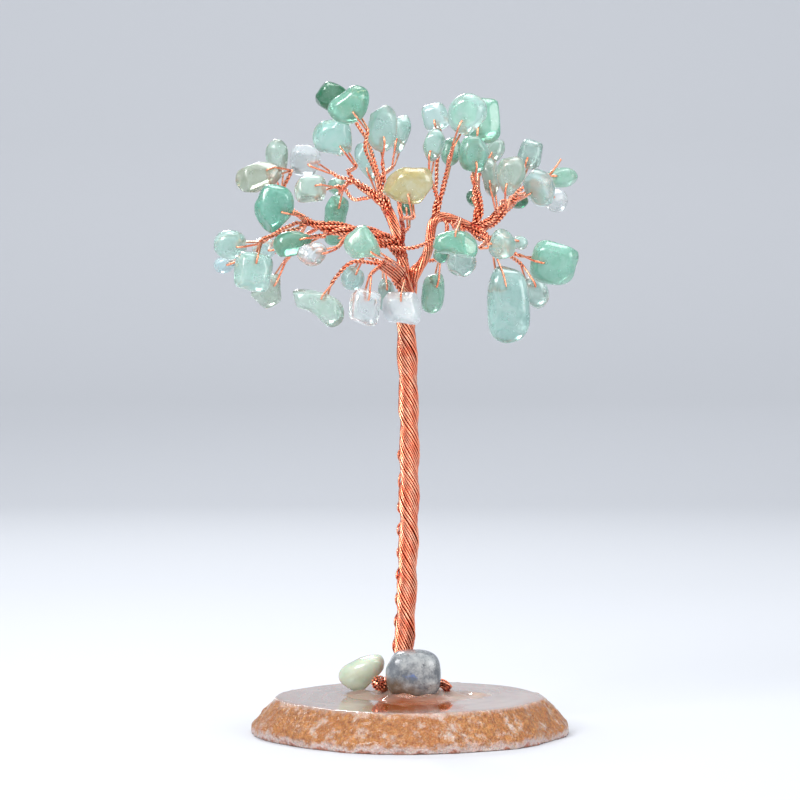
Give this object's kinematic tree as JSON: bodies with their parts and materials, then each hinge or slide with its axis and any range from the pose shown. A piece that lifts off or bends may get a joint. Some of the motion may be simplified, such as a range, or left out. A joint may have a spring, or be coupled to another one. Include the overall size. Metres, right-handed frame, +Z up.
{
  "type": "gemstone tree ornament",
  "caption": "Desk ornament: a twisted copper wire tree with pale and green stone chips, set with two pebbles in clear resin on an agate slice.",
  "frame": {"origin": "middle of the agate slice's flat underside", "axes": "+Z up along the trunk, +X to the right seen from the front, +Y away from the front"},
  "size_m": [0.0701, 0.0557, 0.1234],
  "materials": {
    "agate": "polished top, rough rim",
    "resin": "clear gloss",
    "grey_stone": "polished",
    "pale_stone": "polished",
    "copper": "bright drawn wire",
    "green_chip": "tumbled",
    "pale_chip": "tumbled",
    "clear_chip": "tumbled",
    "yellow_chip": "tumbled"
  },
  "bodies": {
    "stand": {"agate_base": "agate", "resin_pool": "resin", "grey_pebble": "grey_stone", "pale_pebble": "pale_stone", "root_bundles": "copper", "trunk_core": "copper", "trunk_strands": "copper", "main_fork": "copper", "fork_twigs": "copper", "fork_green_chips": "green_chip", "fork_pale_chips": "pale_chip", "fork_clear_chips": "clear_chip"},
    "left_branch": {"left_branch_stem": "copper", "left_branch_twigs": "copper", "left_branch_green_chips": "green_chip", "left_branch_pale_chips": "pale_chip", "left_branch_clear_chips": "clear_chip"},
    "upper_left_branch": {"upper_left_branch_stem": "copper", "upper_left_branch_twigs": "copper", "upper_left_branch_green_chips": "green_chip", "upper_left_branch_pale_chips": "pale_chip", "upper_left_branch_clear_chips": "clear_chip"},
    "top_branch": {"top_branch_stem": "copper", "top_branch_twigs": "copper", "top_branch_green_chips": "green_chip", "top_branch_pale_chips": "pale_chip"},
    "centre_branch": {"centre_branch_stem": "copper", "centre_branch_twigs": "copper", "centre_branch_yellow_chips": "yellow_chip"},
    "lower_left_branch": {"lower_left_branch_stem": "copper", "lower_left_branch_twigs": "copper", "lower_left_branch_green_chips": "green_chip", "lower_left_branch_pale_chips": "pale_chip", "lower_left_branch_clear_chips": "clear_chip"},
    "inner_right_branch": {"inner_right_branch_stem": "copper", "inner_right_branch_twigs": "copper", "inner_right_branch_green_chips": "green_chip", "inner_right_branch_pale_chips": "pale_chip"},
    "upper_right_branch": {"upper_right_branch_stem": "copper", "upper_right_branch_twigs": "copper", "upper_right_branch_green_chips": "green_chip", "upper_right_branch_pale_chips": "pale_chip"},
    "right_branch": {"right_branch_stem": "copper", "right_branch_twigs": "copper", "right_branch_green_chips": "green_chip", "right_branch_pale_chips": "pale_chip", "right_branch_clear_chips": "clear_chip"},
    "lower_right_branch": {"lower_right_branch_stem": "copper", "lower_right_branch_twigs": "copper", "lower_right_branch_green_chips": "green_chip", "lower_right_branch_pale_chips": "pale_chip"}
  },
  "joints": [
    {"name": "left_branch_bend", "type": "hinge", "parent": "stand", "child": "left_branch", "pos_m": [-0.00179, 0.004, 0.09161], "axis": [0, 1, 0], "range_deg": [-5, 3]},
    {"name": "upper_left_branch_bend", "type": "hinge", "parent": "stand", "child": "upper_left_branch", "pos_m": [-0.00421, 0.00515, 0.09921], "axis": [0.58, 0.8146, 0], "range_deg": [-3, 5]},
    {"name": "top_branch_bend", "type": "hinge", "parent": "stand", "child": "top_branch", "pos_m": [-0.00421, 0.00515, 0.09921], "axis": [0, 1, 0], "range_deg": [-6, 6]},
    {"name": "centre_branch_bend", "type": "hinge", "parent": "stand", "child": "centre_branch", "pos_m": [-0.00179, 0.004, 0.09161], "axis": [-1, 0, 0], "range_deg": [-8, 8]},
    {"name": "lower_left_branch_bend", "type": "hinge", "parent": "stand", "child": "lower_left_branch", "pos_m": [-0.0011, 0.004, 0.0842], "axis": [-0.7071, 0.7071, 0], "range_deg": [-6, 6]},
    {"name": "inner_right_branch_bend", "type": "hinge", "parent": "stand", "child": "inner_right_branch", "pos_m": [0.00511, 0.00515, 0.0975], "axis": [-0.7071, -0.7071, 0], "range_deg": [-4, 4]},
    {"name": "upper_right_branch_bend", "type": "hinge", "parent": "stand", "child": "upper_right_branch", "pos_m": [0.01304, 0.00515, 0.09503], "axis": [1, 0, 0], "range_deg": [-4, 4]},
    {"name": "right_branch_bend", "type": "hinge", "parent": "stand", "child": "right_branch", "pos_m": [0.01304, 0.00515, 0.09503], "axis": [0.7071, -0.7071, 0], "range_deg": [-5, 5]},
    {"name": "lower_right_branch_bend", "type": "hinge", "parent": "stand", "child": "lower_right_branch", "pos_m": [0.01304, 0.00515, 0.09503], "axis": [-0.7071, -0.7071, 0], "range_deg": [-6, 6]}
  ]
}
